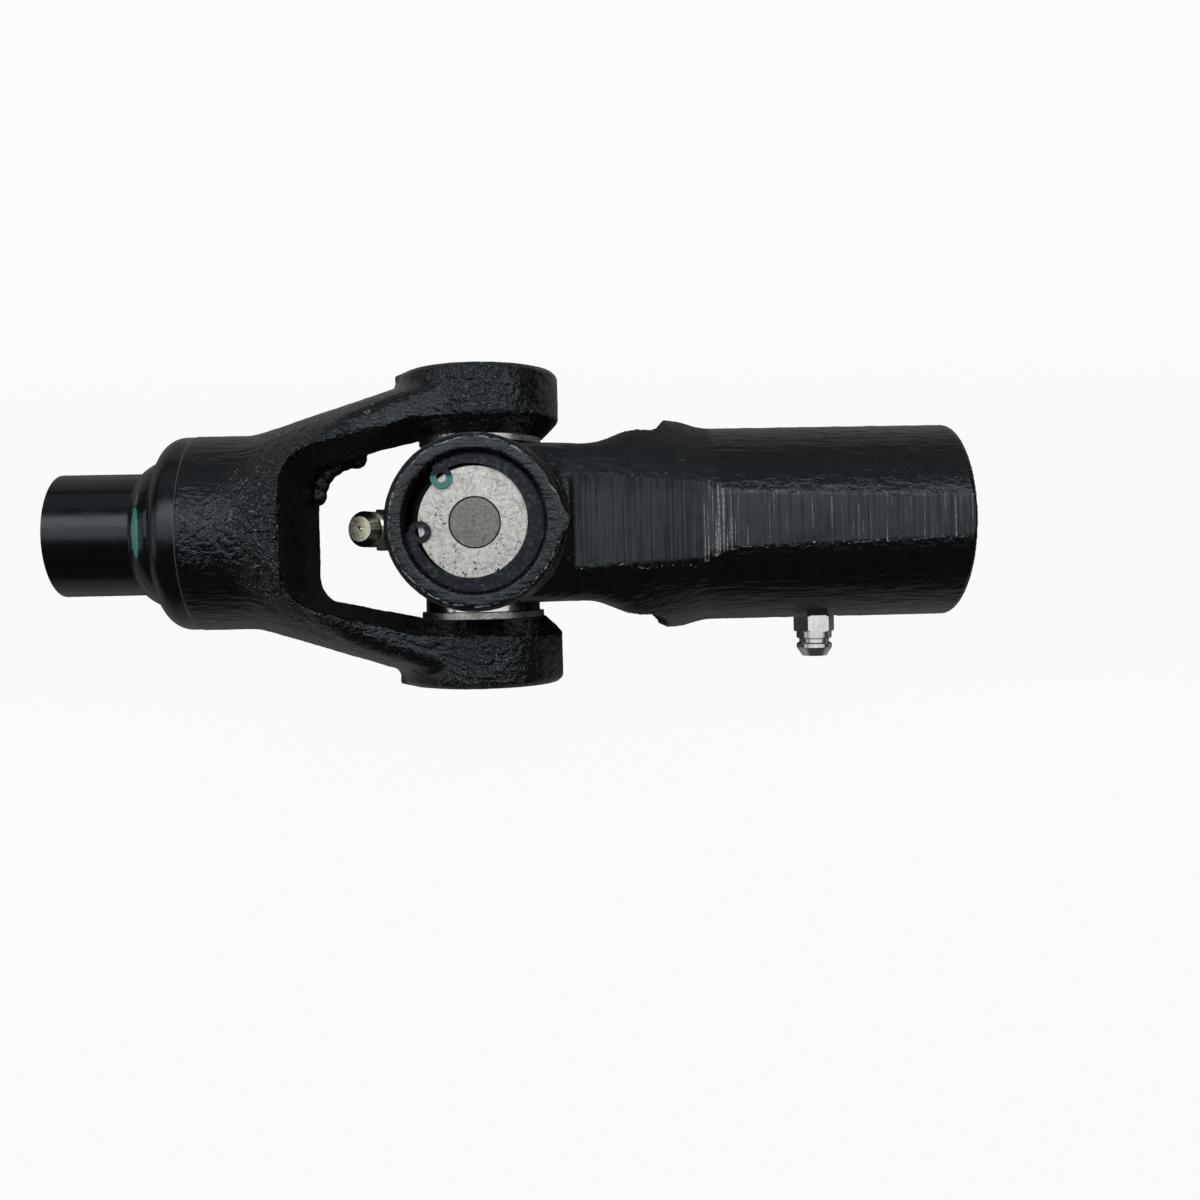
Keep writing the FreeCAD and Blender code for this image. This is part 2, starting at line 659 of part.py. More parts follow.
def sleeve_nipple():
    down = Y_AXIS * -1
    place = X_AXIS * NIPPLE_AT
    foot = SLEEVE_R - SPOT_FACE_DEPTH
    hex_top = foot + SLEEVE_HEX_HIGH
    top = hex_top + HEAD_HEIGHT
    body = disc(NIPPLE_THREAD_R, RELIEF_R, foot)
    body = body.multiFuse([nipple_head(hex_top), hexagon(SLEEVE_HEX, foot, hex_top)])
    body = one_solid(body.cut(nipple_duct(top, SPLINE_MINOR)))
    add_nipple("sleeve_nipple", upright(body, place, down), top, place, down)


def cross_nipple():
    back = X_AXIS * -1
    angle = math.radians(ELBOW_DEG)
    lean = V(-math.cos(angle), 0, math.sin(angle))
    place = back * ELBOW_AT
    top = ELBOW_NECK + HEAD_HEIGHT
    stem = disc(NIPPLE_THREAD_R, CROSS_HEX_FROM - CROSS_THREAD_LENGTH, CROSS_HEX_FROM, back)
    block = upright(hexagon(CROSS_HEX, CROSS_HEX_FROM, CROSS_HEX_TO), ORIGIN, back)
    neck = disc(HEAD_R - HEAD_GROOVE, 0, ELBOW_NECK)
    body = stem.multiFuse([block, upright(neck.fuse(nipple_head(ELBOW_NECK)), place, lean)])
    ducts = upright(nipple_duct(top, 0), place, lean)
    ducts = ducts.fuse(disc(NIPPLE_DUCT_R, 0, ELBOW_AT, back))
    add_nipple("cross_nipple", one_solid(body.cut(ducts)), top, place, lean)


# Assembly


def yokes():
    NODES["sleeve_yoke"] = sleeve_yoke()
    NODES["sleeve_plug"] = sleeve_plug()
    NODES["tube_yoke"] = tube_yoke()
    NODES["tube"] = tube()
    NODES["weld_bead"] = weld_bead()


def bearings():
    """One set per trunnion: top and bottom on +-Z, left and right on +-Y."""
    NODES["cross"] = cross()
    pieces = {"cup": cup(), "circlip": circlip(), "needles": needles()}
    pieces.update({"thrust_washer": thrust_washer(), "seal": seal(), "guard": guard()})
    turns = {"sleeve_top": 0, "sleeve_bottom": 180, "tube_left": -90, "tube_right": 90}
    for name, shape in pieces.items():
        for place, degrees in turns.items():
            NODES[name + "_" + place] = about(shape, X_AXIS, degrees)


def save():
    os.makedirs("parts", exist_ok=True)
    for name, shape in NODES.items():
        moved = shape.copy()
        moved.translate(V(-SLEEVE_REACH, 0, 0))
        moved.exportStep("parts/" + name + ".step")


yokes()
bearings()
sleeve_nipple()
cross_nipple()
save()
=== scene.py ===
# %% [markdown]
# This lesson dresses one end of a car's front drive shaft. A tube is welded to a forged yoke. A
# cross on needle bearings joins it to a second yoke, whose long sleeve slides on a splined shaft.
# The imported model gives every piece its true size and place, so it is loaded first, and the
# bottom of its box later sets the floor's height.

# %% Load the imported model
import math
import bpy
from mathutils import Matrix, Vector


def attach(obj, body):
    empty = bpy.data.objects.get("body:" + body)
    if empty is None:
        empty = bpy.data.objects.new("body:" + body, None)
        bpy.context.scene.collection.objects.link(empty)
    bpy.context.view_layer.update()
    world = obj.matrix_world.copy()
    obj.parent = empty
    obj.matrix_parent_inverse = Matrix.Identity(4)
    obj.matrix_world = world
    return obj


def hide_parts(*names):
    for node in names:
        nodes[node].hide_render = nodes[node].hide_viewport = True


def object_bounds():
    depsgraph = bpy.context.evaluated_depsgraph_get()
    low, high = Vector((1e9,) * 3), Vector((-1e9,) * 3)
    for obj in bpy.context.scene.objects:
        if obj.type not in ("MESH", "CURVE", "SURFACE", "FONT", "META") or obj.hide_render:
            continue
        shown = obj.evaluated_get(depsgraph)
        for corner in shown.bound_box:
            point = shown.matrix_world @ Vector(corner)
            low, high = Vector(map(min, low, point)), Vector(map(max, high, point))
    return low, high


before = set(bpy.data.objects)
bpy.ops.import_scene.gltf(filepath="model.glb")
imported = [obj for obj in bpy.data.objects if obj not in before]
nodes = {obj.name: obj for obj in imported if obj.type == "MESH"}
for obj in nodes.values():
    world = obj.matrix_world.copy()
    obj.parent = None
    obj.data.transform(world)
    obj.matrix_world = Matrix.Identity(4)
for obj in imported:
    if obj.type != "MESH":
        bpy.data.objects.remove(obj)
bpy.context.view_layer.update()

# %% [markdown]
# Sizes here are in metres and written as millimetres times MM, because the parts were designed in
# millimetres. The joint's centre is where the two pivots cross, and most places are counted from
# it. The sleeve's ears stand on the Z axis and the tube yoke's ears on the Y axis.

# %% Name the main sizes
MM = 0.001
JOINT_X = -104.0 * MM
JOINT = Vector((JOINT_X, 0.0, 0.0))
CUP_R = 13.5 * MM
CUP_FACE_R = 11.1 * MM
EAR_FACE = 34.2 * MM
EAR_FACE_R = 16.4 * MM
EAR_REACH = 19.5 * MM
HEEL_LEAN = math.radians(28.7)
HUB_END_X = JOINT_X - 68.0 * MM
BAND_X = HUB_END_X + 6.8 * MM
WELD_TOE_X = HUB_END_X - 5.2 * MM
THROAT_X = JOINT_X - 39.0 * MM
NECK_X = JOINT_X + 19.2 * MM
SHOULDER_X = JOINT_X + 48.9 * MM
BORE_R = 16.2 * MM
BORE_END_X = -63.5 * MM
DISH_R = 5.05 * MM
LUG_REACH = 10.75 * MM
LUG_R = 2.15 * MM
PAINTED_LUG = math.radians(125.5)
floor_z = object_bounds()[0].z


def only(piece):
    """Selects one object and makes it the active one."""
    bpy.ops.object.select_all(action="DESELECT")
    piece.select_set(True)
    bpy.context.view_layer.objects.active = piece


# %% [markdown]
# A material is a small graph of nodes. These helpers add one node with its sockets filled, or
# linked where the value is another node's socket, so that each finish below reads as a recipe.

# %% Helpers for building materials


def new_material(name):
    material = bpy.data.materials.new(name)
    material.use_nodes = True
    return material


def fill(material, socket, value):
    """Links a value that is another node's socket, and sets any other."""
    if isinstance(value, bpy.types.NodeSocket):
        material.node_tree.links.new(value, socket)
    else:
        socket.default_value = value


def add(material, kind, settings=None, **sockets):
    """Adds a shader node. Sockets are named with underscores for spaces, or i0, i1 by number."""
    made = material.node_tree.nodes.new("ShaderNode" + kind)
    for key, value in (settings or {}).items():
        setattr(made, key, value)
    for key, value in sockets.items():
        number = key[1:] if key[0] == "i" and key[1:].isdigit() else None
        socket = made.inputs[int(number)] if number else made.inputs[key.replace("_", " ")]
        fill(material, socket, value)
    return made


def shader(material):
    return material.node_tree.nodes["Principled BSDF"]


def feed(material, **sockets):
    """Sets or links the sockets of the material's main shader."""
    for key, value in sockets.items():
        fill(material, shader(material).inputs[key.replace("_", " ")], value)


# %% [markdown]
# Patterns read Object coordinates: every piece sits at the origin, so they are real places on the
# shaft, in metres, and a noise of scale 500 gives grains about 2 mm wide. Stretching the
# coordinates draws the grains out into streaks or grinding marks.

# %% Helpers for patterns


def places(material):
    return add(material, "TexCoord").outputs["Object"]


def moved(material, x=0.0, y=0.0, z=0.0, stretch=(1.0, 1.0, 1.0)):
    """Object coordinates counted from a place and stretched along each axis."""
    shifted = add(material, "VectorMath", {"operation": "SUBTRACT"}, i0=places(material), i1=(x, y, z))
    made = add(material, "VectorMath", {"operation": "MULTIPLY"}, i0=shifted.outputs[0], i1=stretch)
    return made.outputs[0]


def axis_of(material, source, axis):
    return add(material, "SeparateXYZ", Vector=source).outputs[axis.upper()]


def along(material, axis):
    """Distance from the origin along one axis."""
    return axis_of(material, places(material), axis)


def length_of(material, source):
    return add(material, "VectorMath", {"operation": "LENGTH"}, i0=source).outputs["Value"]


def noise(material, scale, detail=2.0, at=None, rough=0.5):
    source = at or places(material)
    made = add(material, "TexNoise", Vector=source, Scale=scale, Detail=detail, Roughness=rough)
    return made.outputs["Fac"]


def math_node(material, operation, first, second=0.0):
    return add(material, "Math", {"operation": operation}, i0=first, i1=second).outputs[0]


def times(material, first, *others):
    for other in others:
        first = math_node(material, "MULTIPLY", first, other)
    return first


def plus(material, first, *others):
    for other in others:
        first = math_node(material, "ADD", first, other)
    return first


def minus(material, first, second):
    return math_node(material, "SUBTRACT", first, second)


def one_minus(material, value):
    return minus(material, 1.0, value)


def larger(material, first, second):
    return math_node(material, "MAXIMUM", first, second)


def size_of(material, value):
    return math_node(material, "ABSOLUTE", value)


def ramp(material, value, low, high, start=0.0, end=1.0):
    """Maps low..high to start..end, clamped at both ends."""
    made = add(material, "MapRange", i0=value, i1=low, i2=high, i3=start, i4=end)
    return made.outputs["Result"]


def within(material, value, low, high, soft):
    """1 between low and high, fading to 0 over the soft width outside."""
    rise = ramp(material, value, low - soft, low)
    return times(material, rise, ramp(material, value, high, high + soft, 1.0, 0.0))


def blend_colours(material, amount, first, second):
    made = add(material, "Mix", {"data_type": "RGBA"}, i0=amount, i6=first, i7=second)
    return made.outputs[2]


def bump(material, height, depth):
    return add(material, "Bump", Height=height, Strength=1.0, Distance=depth).outputs["Normal"]


# %% [markdown]
# Black enamel is the finish seen most. It is almost black, a little blue in its shine, and shows
# its surface only by the way that light breaks on it. A worn spot shows grey steel through it. The
# share of bare steel is high on raised edges, which the mesh's own pointedness finds.

# %% Enamel and its wear
ENAMEL = (0.0022, 0.0026, 0.0032, 1.0)
ENAMEL_TINT = (0.77, 0.91, 1.0, 1.0)
# Bare steel for wear and scuffs, also used for painted glints.
BARE_STEEL_AND_GLINT = (0.42, 0.43, 0.43, 1.0)
OILED_STEEL = (0.2, 0.2, 0.19, 1.0)
GREEN_PAINT = (0.05, 0.28, 0.245, 1.0)
# Pale paint of the scribed line and the weld's streak, also used for painted glints.
PALE_PAINT_AND_GLINT = (0.2, 0.21, 0.21, 1.0)


def enamel(name, colour, roughness, height):
    """A coat of enamel with a colour, a roughness and a height in millimetres."""
    material = new_material(name)
    feed(material, Specular_Tint=ENAMEL_TINT, Specular_IOR_Level=0.6)
    feed(material, Base_Color=colour(material), Roughness=roughness(material))
    feed(material, Normal=bump(material, height(material), MM))
    return material


def edge_wear(material, low, high):
    """Share of bare steel: high on raised edges, broken up by noise."""
    edge = add(material, "NewGeometry").outputs["Pointiness"]
    patches = ramp(material, noise(material, 300.0, 2.0), 0.45, 0.55)
    flecks = ramp(material, noise(material, 2200.0, 3.0, rough=0.7), 0.5, 0.58)
    return times(material, ramp(material, edge, low, high), patches, flecks)


def chips_and_glints(material, scale, share):
    """Small scattered spots of bare-steel colour: partly chipped paint, partly painted glints."""
    return ramp(material, noise(material, scale, 2.0, rough=0.7), 1.0 - share, 1.02 - share)


# %% [markdown]
# The tube yoke was forged in halves, so its skin differs from place to place. The middle of the hub
# is pebbled by scale, the flanks are drawn into fine streaks, and the band beside the weld is
# turned smooth up to a thin scribed line. A pale line at the hub's rounded end is a painted glint.
# Past the throat the arms are pebbled most on their upper and lower faces. Small spots of bare-steel
# colour on the pebbles are partly chipped paint and partly painted glints, more near the window's edge.

# %% Forged enamel of the tube yoke
STREAK_STRETCH = (140.0, 800.0, 800.0)
STREAK_GAIN = 1.2
STREAK_DEPTH = 0.14


def tube_yoke_pebbles(material):
    """How pebbled the skin is: most on the hub's middle and the arms' upper and lower faces."""
    x = along(material, "x")
    across = size_of(material, along(material, "y"))
    up = size_of(material, along(material, "z"))
    wander = ramp(material, noise(material, 160.0, 2.0), 0.3, 0.7, -2.5 * MM, 2.5 * MM)
    spread = ramp(material, x, THROAT_X - 16.0 * MM, THROAT_X - 6.0 * MM, 0.0, -7.0 * MM)
    on_hub = ramp(material, plus(material, across, wander, spread), 6.0 * MM, 9.0 * MM, 1.0, 0.08)
    on_arms = ramp(material, up, 15.0 * MM, 18.5 * MM, 0.25, 1.2)
    past_throat = ramp(material, x, THROAT_X - 6.0 * MM, THROAT_X - 2.0 * MM)
    mixed = times(material, on_hub, one_minus(material, past_throat))
    mixed = plus(material, mixed, times(material, on_arms, past_throat))
    deeper = ramp(material, x, THROAT_X - 12.0 * MM, THROAT_X - 5.0 * MM, 1.0, 1.7)
    return times(material, mixed, deeper, ramp(material, x, BAND_X, BAND_X + 1.5 * MM))


def forged_height(material, pebbles):
    """Pebbles, lengthwise streaks where there are none, and the paint's own fine grain."""
    x = along(material, "x")
    rough = ramp(material, x, BAND_X, BAND_X + 0.6 * MM)
    coarse = times(material, ramp(material, noise(material, 650.0, 3.0, rough=0.6), 0.34, 0.62), 0.2)
    fine = times(material, noise(material, 1900.0, 2.0, rough=0.6), 0.06)
    streaks = noise(material, 1.0, 3.0, moved(material, stretch=STREAK_STRETCH))
    streaks = times(material, ramp(material, streaks, 0.3, 0.7), STREAK_GAIN)
    stones = times(material, plus(material, coarse, fine), pebbles)
    lines = times(material, streaks, one_minus(material, pebbles), rough, STREAK_DEPTH)
    grain = times(material, noise(material, 4200.0, 1.0), 0.008)
    return plus(material, stones, lines, grain)


def scribed_line(material):
    x = along(material, "x")
    return within(material, x, BAND_X - 0.1 * MM, BAND_X + 0.1 * MM, 0.08 * MM)


def tube_yoke_height(material):
    height = forged_height(material, tube_yoke_pebbles(material))
    return plus(material, height, times(material, scribed_line(material), -0.08))


def painted_shoulder_glint(material):
    """Painted glint: a pale line where the hub's rounded end meets the weld."""
    x = along(material, "x")
    broken = ramp(material, noise(material, 500.0, 2.0), 0.35, 0.6, 0.3, 1.0)
    return times(material, within(material, x, HUB_END_X, HUB_END_X + 0.4 * MM, 0.2 * MM), broken)


def tube_yoke_colour(material):
    x = along(material, "x")
    on_fork = ramp(material, x, THROAT_X - 6.0 * MM, THROAT_X - 3.0 * MM)
    worn = times(material, edge_wear(material, 0.52, 0.56), on_fork, 0.6)
    pebbles = tube_yoke_pebbles(material)
    near_edge = within(material, x, THROAT_X - 10.0 * MM, THROAT_X - 5.0 * MM, 3.0 * MM)
    # Bare-steel spots on the pebbles: partly chipped paint, partly painted glints, more near the
    # window's edge.
    spots = times(material, chips_and_glints(material, 1900.0, 0.33), pebbles, 0.5)
    edge_glint_spots = times(material, chips_and_glints(material, 1100.0, 0.34), pebbles, near_edge, 0.4)
    spots = plus(material, spots, edge_glint_spots)
    pale = plus(material, scribed_line(material), painted_shoulder_glint(material))
    lined = blend_colours(material, times(material, pale, 0.35), ENAMEL, PALE_PAINT_AND_GLINT)
    return blend_colours(material, plus(material, worn, spots), lined, BARE_STEEL_AND_GLINT)


def forged_roughness(material):
    return ramp(material, noise(material, 300.0, 2.0), 0.3, 0.7, 0.18, 0.3)


tube_yoke_finish = enamel(
    "forged enamel, tube yoke", tube_yoke_colour, forged_roughness, tube_yoke_height
)
print("made", tube_yoke_finish.name)

# %% [markdown]
# The sleeve yoke is ground flat along its parting line, before painting, and the wheel left marks
# straight across the shaft. These functions say where a place is: on the ground flats, on an ear's
# machined face, or in the splined bore, which isn't painted.

# %% Ground, machined and bored places of the sleeve yoke
FLAT_Z = 18.5 * MM
NECK_FLAT_HALF = 9.3 * MM
SLEEVE_FLAT_HALF = 5.9 * MM
MOUTH_FLAT_NARROWER = 1.6 * MM


def beyond_flat(material):
    """Distance outside the ragged edge of the ground flats, negative on them."""
    x = along(material, "x")
    across = size_of(material, along(material, "y"))
    ragged = ramp(material, noise(material, 380.0, 3.0), 0.3, 0.7, -0.7 * MM, 0.7 * MM)
    low, high = SHOULDER_X - 4.0 * MM, SHOULDER_X + 4.0 * MM
    half = ramp(material, x, low, high, NECK_FLAT_HALF, SLEEVE_FLAT_HALF)
    half = plus(material, half, ramp(material, x, SHOULDER_X, 0.0, 0.0, -MOUTH_FLAT_NARROWER))
    return minus(material, plus(material, across, ragged), half)


def along_flat(material):
    x = along(material, "x")
    up = size_of(material, along(material, "z"))
    outside = ramp(material, up, FLAT_Z, FLAT_Z + 0.5 * MM)
    return times(material, outside, ramp(material, x, NECK_X, NECK_X + 0.5 * MM))


def flat_share(material):
    """1 on the ground flats of the neck and the sleeve."""
    on = ramp(material, beyond_flat(material), -0.2 * MM, 0.2 * MM, 1.0, 0.0)
    return times(material, on, along_flat(material))


def grinding(material, spacing):
    """Marks straight across the shaft, each a little different along its length."""
    per_metre = 1.0 / spacing
    return noise(material, 1.0, 3.0, moved(material, stretch=(per_metre, 35.0, 8.0)), rough=0.65)


def in_bore(material):
    """1 inside the splined bore, which isn't painted."""
    x = along(material, "x")
    from_shaft = length_of(material, moved(material, stretch=(0.0, 1.0, 1.0)))
    inside = ramp(material, from_shaft, BORE_R, BORE_R + 0.2 * MM, 1.0, 0.0)
    return times(material, inside, ramp(material, x, BORE_END_X, BORE_END_X + 0.5 * MM))


def ear_face(material):
    """1 on and near the machined faces of the ears."""
    up = size_of(material, along(material, "z"))
    return ramp(material, up, EAR_FACE - 1.6 * MM, EAR_FACE - 0.8 * MM)


# %% [markdown]
# Later rubbing has bared steel on the high grinding marks, most of all where the neck meets the
# sleeve, and round the ears' machined faces. Painted glints in the same steel colour lie along the
# ragged edge of the flats, more on the -Y side, and as small spots on the skin and the ears' faces.
# The rest of the skin is drawn into long faint streaks. The sleeve's mouth and bore are smooth, the
# bore is oiled bare steel, and the paint lies matt on the +Y side of the neck.

# %% Forged enamel of the sleeve yoke


def sleeve_yoke_height(material):
    flat = flat_share(material)
    across = size_of(material, along(material, "y"))
    pebbles = ramp(material, across, 7.0 * MM, 12.0 * MM, 0.6, 0.1)
    forged = times(material, forged_height(material, pebbles), one_minus(material, flat), 0.8)
    grain = times(material, noise(material, 2600.0, 3.0, rough=0.65), ear_face(material), 0.05)
    marks = times(material, grinding(material, 0.7 * MM), flat, 0.12)
    mouth = ramp(material, along(material, "x"), -1.2 * MM, -0.6 * MM, 1.0, 0.1)
    smooth = ramp(material, in_bore(material), 0.0, 1.0, 1.0, 0.1)
    return times(material, plus(material, forged, grain, marks), mouth, smooth)


def sleeve_yoke_dullness(material):
    """Paint lies dull in the deeper grinding marks and on one side of the neck."""
    marks = ramp(material, grinding(material, 0.6 * MM), 0.5, 0.6)
    dull = times(material, marks, flat_share(material), 0.3)
    x = along(material, "x")
    beside = ramp(material, along(material, "y"), 5.0 * MM, 9.0 * MM)
    matt = times(material, within(material, x, NECK_X, SHOULDER_X, 2.0 * MM), beside, 0.25)
    return plus(material, forged_roughness(material), dull, matt)


def rubbed_lines(material):
    """Bare steel on the sleeve's high marks, most of it where the neck meets the sleeve."""
    x = along(material, "x")
    rubbed = within(material, x, SHOULDER_X - 1.6 * MM, SHOULDER_X + 3.6 * MM, 0.8 * MM)
    on_neck = ramp(material, x, SHOULDER_X - 4.0 * MM, SHOULDER_X - 3.0 * MM, 0.12, 0.0)
    high = minus(material, grinding(material, 0.5 * MM), on_neck)
    high = plus(material, high, times(material, rubbed, 0.08))
    broken = ramp(material, noise(material, 1700.0, 3.0, rough=0.7), 0.42, 0.58, 0.25, 0.9)
    return times(material, ramp(material, high, 0.6, 0.66), flat_share(material), broken)


def flat_edge_glints(material):
    """Painted glints of bare-steel colour along the ragged edge of the flats, stronger on the -Y side.
    """
    edge = within(material, beyond_flat(material), -0.1 * MM, 0.1 * MM, 0.08 * MM)
    chosen = ramp(material, noise(material, 1300.0, 2.0), 0.6, 0.64)
    side = ramp(material, along(material, "y"), -1.0 * MM, 1.0 * MM, 0.8, 0.3)
    return times(material, edge, along_flat(material), chosen, side)


def ear_outline(material):
    """Distance from an ear's axis, drawn out to the pointed heel towards the sleeve."""
    here = moved(material, JOINT_X, stretch=(1.0, 1.0, 0.0))
    x = axis_of(material, here, "x")
    y = size_of(material, axis_of(material, here, "y"))
    cosine = math.cos(HEEL_LEAN)
    sine = math.sin(HEEL_LEAN)
    straight = plus(material, times(material, x, cosine), times(material, y, sine))
    ahead = minus(material, times(material, x, sine), times(material, y, cosine))
    on_heel = ramp(material, ahead, 0.0, 0.1 * MM)
    round_part = times(material, length_of(material, here), one_minus(material, on_heel))
    return plus(material, round_part, times(material, straight, on_heel))


def ear_ring(material):
    """Broken line of bare steel round the machined faces of the ears, and painted glints as flecks
    inside it.
    """
    wander = ramp(material, noise(material, 400.0, 2.0), 0.3, 0.7, -0.2 * MM, 0.2 * MM)
    near_edge = plus(material, ear_outline(material), wander)
    ring = within(material, near_edge, EAR_FACE_R - 0.1 * MM, EAR_FACE_R + 0.1 * MM, 0.12 * MM)
    broken = ramp(material, noise(material, 900.0, 5.0, rough=0.8), 0.48, 0.54)
    patches = ramp(material, noise(material, 240.0, 2.0), 0.42, 0.55, 0.2, 1.0)
    # Painted glints: bright flecks on the ears' machined faces.
    flecks = times(material, chips_and_glints(material, 2300.0, 0.33), 0.5)
    marks = larger(material, times(material, ring, broken, patches), flecks)
    return times(material, marks, ear_face(material))


def sleeve_yoke_colour(material):
    x = along(material, "x")
    off_sleeve = one_minus(material, within(material, x, SHOULDER_X, -2.0 * MM, 0.5 * MM))
    lines = plus(material, rubbed_lines(material), times(material, ear_ring(material), 0.9))
    worn = times(material, edge_wear(material, 0.54, 0.58), off_sleeve, 0.4)
    edges = plus(material, worn, flat_edge_glints(material))
    # Painted glints: a few bright spots on the skin.
    spots = times(material, chips_and_glints(material, 3000.0, 0.15), 0.4)
    skin = blend_colours(material, plus(material, lines, edges, spots), ENAMEL, BARE_STEEL_AND_GLINT)
    return blend_colours(material, in_bore(material), skin, OILED_STEEL)


sleeve_yoke_finish = enamel(
    "forged enamel, sleeve yoke", sleeve_yoke_colour, sleeve_yoke_dullness, sleeve_yoke_height
)
feed(sleeve_yoke_finish, Metallic=in_bore(sleeve_yoke_finish))
print("made", sleeve_yoke_finish.name)

# %% [markdown]
# The yokes are forgings, so their skin is lumpy even in outline. A copy of each yoke is first
# remeshed into even small faces. The ragged lip of flash in the corner of the tube yoke's window is
# a row of flat lumps, which the remeshing melts into the fork. On the sleeve yoke a tilted block on
# each side grinds the neck's flats back to the heels of the ears.

# %% Copy a yoke, with its flash and its ground neck
VOXEL = 0.42 * MM
WELDED_WITHIN = 0.001 * MM
FLASH_X = JOINT_X - 29.5 * MM
FLASH_Y = 8.0 * MM
FLASH_Z = -13.0 * MM
FLASH_BEND_R = 9.5 * MM
FLASH_FROM = 5.0
FLASH_SWEEP = 85.0
FLASH_SHARES = (0.0, 0.2, 0.4, 0.6, 0.8, 1.0)
FLASH_R = 2.6 * MM
FLASH_SCALE = (1.0, 1.0, 0.5)
NECK_TILT = math.radians(17.5)
GROUND_AT = (21.2 * MM, 30.63 * MM)
GROUND_SIZE = (4.0 * MM, 24.0 * MM, 4.0 * MM)


def add_flash():
    """Flat lumps along the far corner of the window, from the throat to the arm."""
    for share in FLASH_SHARES:
        angle = math.radians(FLASH_FROM + FLASH_SWEEP * share)
        x = FLASH_X - FLASH_BEND_R * math.cos(angle)
        y = FLASH_Y + FLASH_BEND_R * math.sin(angle)
        bpy.ops.mesh.primitive_ico_sphere_add(
            subdivisions=3, radius=FLASH_R, location=(x, y, FLASH_Z), scale=FLASH_SCALE
        )


def grind_back(piece):
    """Grinds the neck's flats back to the heels of the ears, with a tilted block for each side."""
    for side in (1.0, -1.0):
        tilt = side * NECK_TILT
        middle = (JOINT_X + GROUND_AT[0], 0.0, side * GROUND_AT[1])
        bpy.ops.mesh.primitive_cube_add(
            size=1.0, location=middle, rotation=(0.0, tilt, 0.0), scale=GROUND_SIZE
        )
        block = bpy.context.object
        only(piece)
        cut = piece.modifiers.new("ground back", "BOOLEAN")
        cut.object = block
        bpy.ops.object.modifier_apply(modifier=cut.name)
        bpy.data.objects.remove(block)


def remeshed_copy(node, name, extra=None, cut=None):
    """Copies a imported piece, adds the extra shapes, cuts it and remeshes it."""
    piece = nodes[node].copy()
    piece.data = nodes[node].data.copy()
    piece.name = name
    piece.parent = None
    bpy.context.scene.collection.objects.link(piece)
    only(piece)
    bpy.ops.object.mode_set(mode="EDIT")
    bpy.ops.mesh.select_all(action="SELECT")
    bpy.ops.mesh.remove_doubles(threshold=WELDED_WITHIN)
    if extra:
        extra()
    bpy.ops.object.mode_set(mode="OBJECT")
    if cut:
        cut(piece)
    remesh = piece.modifiers.new("even skin", "REMESH")
    remesh.mode = "VOXEL"
    remesh.voxel_size = VOXEL
    bpy.ops.object.modifier_apply(modifier=remesh.name)
    bpy.ops.object.shade_smooth()
    return piece


# %% [markdown]
# Modifiers then work the copy. Two of them move its skin in and out by a few tenths of a millimetre,
# only where the hammer's skin was left, so turned, bored and ground faces stay true. Others soften
# the edges round the window and push in the edge of the ears' bores. The last one merges the
# flattest faces, to keep each piece under 200,000 triangles.

# %% Hammer, soften and thin a skin
LEAD_DEPTH = 0.7 * MM
LEAD_R = 14.1 * MM
SOFT_ROUNDS = 24
MOST_TRIANGLES = 190000


def lumps(name, size, depth):
    texture = bpy.data.textures.new(name, "CLOUDS")
    texture.noise_scale = size
    texture.noise_depth = 2
    return texture, depth


LUMPS = [lumps("hammer lumps", 3.2 * MM, 0.28 * MM), lumps("scale pits", 1.3 * MM, 0.16 * MM)]


def weigh(piece, name, weight_at):
    """Vertex group whose weights come from a function of the place."""
    group = piece.vertex_groups.new(name=name)
    for vertex in piece.data.vertices:
        weight = weight_at(vertex.co)
        if weight > 0.0:
            group.add([vertex.index], weight, "REPLACE")
    return group.name


def hammer(piece, forged_at):
    """Moves the skin in and out where forged_at says that it is as forged."""
    group = weigh(piece, "as forged", forged_at)
    only(piece)
    for texture, depth in LUMPS:
        skin = piece.modifiers.new(texture.name, "DISPLACE")
        skin.texture = texture
        skin.texture_coords = "LOCAL"
        skin.strength = depth
        skin.vertex_group = group
        bpy.ops.object.modifier_apply(modifier=skin.name)


def soften(piece, rounded_at):
    """Rounds the edges that the forging die left soft."""
    group = weigh(piece, "soft edges", rounded_at)
    only(piece)
    smooth = piece.modifiers.new("soft edges", "SMOOTH")
    smooth.factor = 0.5
    smooth.iterations = SOFT_ROUNDS
    smooth.vertex_group = group
    bpy.ops.object.modifier_apply(modifier=smooth.name)


def widen_lead(piece, lead_at):
    """Pushes in the edge of the ears' bores, where a file has broken it."""
    group = weigh(piece, "broken edge", lead_at)
    only(piece)
    lead = piece.modifiers.new("wider lead", "DISPLACE")
    lead.strength = -LEAD_DEPTH
    lead.mid_level = 0.0
    lead.vertex_group = group
    bpy.ops.object.modifier_apply(modifier=lead.name)


def thin_out(piece):
    """Merges the flattest faces until the piece has few enough triangles."""
    triangles = sum(len(face.vertices) - 2 for face in piece.data.polygons)
    only(piece)
    fewer = piece.modifiers.new("fewer faces", "DECIMATE")
    fewer.ratio = min(1.0, MOST_TRIANGLES / triangles)
    bpy.ops.object.modifier_apply(modifier=fewer.name)


# %% [markdown]
# These functions say how rough the forging is at a point of its mesh. They are 0 in an ear's bore,
# on the turned band, on the ground flats and inside the splined bore. An ear's machined face takes
# only a little. Two more say where the window's edges are soft and where the bores are broken.

# %% Where each yoke is as forged


def step(value, low, high):
    return min(1.0, max(0.0, (value - low) / (high - low)))


def about_bore(point, across):
    """Distance from the ears' axis, and distance from the joint along it."""
    from_axis = math.hypot(point.x - JOINT_X, point.y if across == "z" else point.z)
    return from_axis, abs(point.z if across == "z" else point.y)


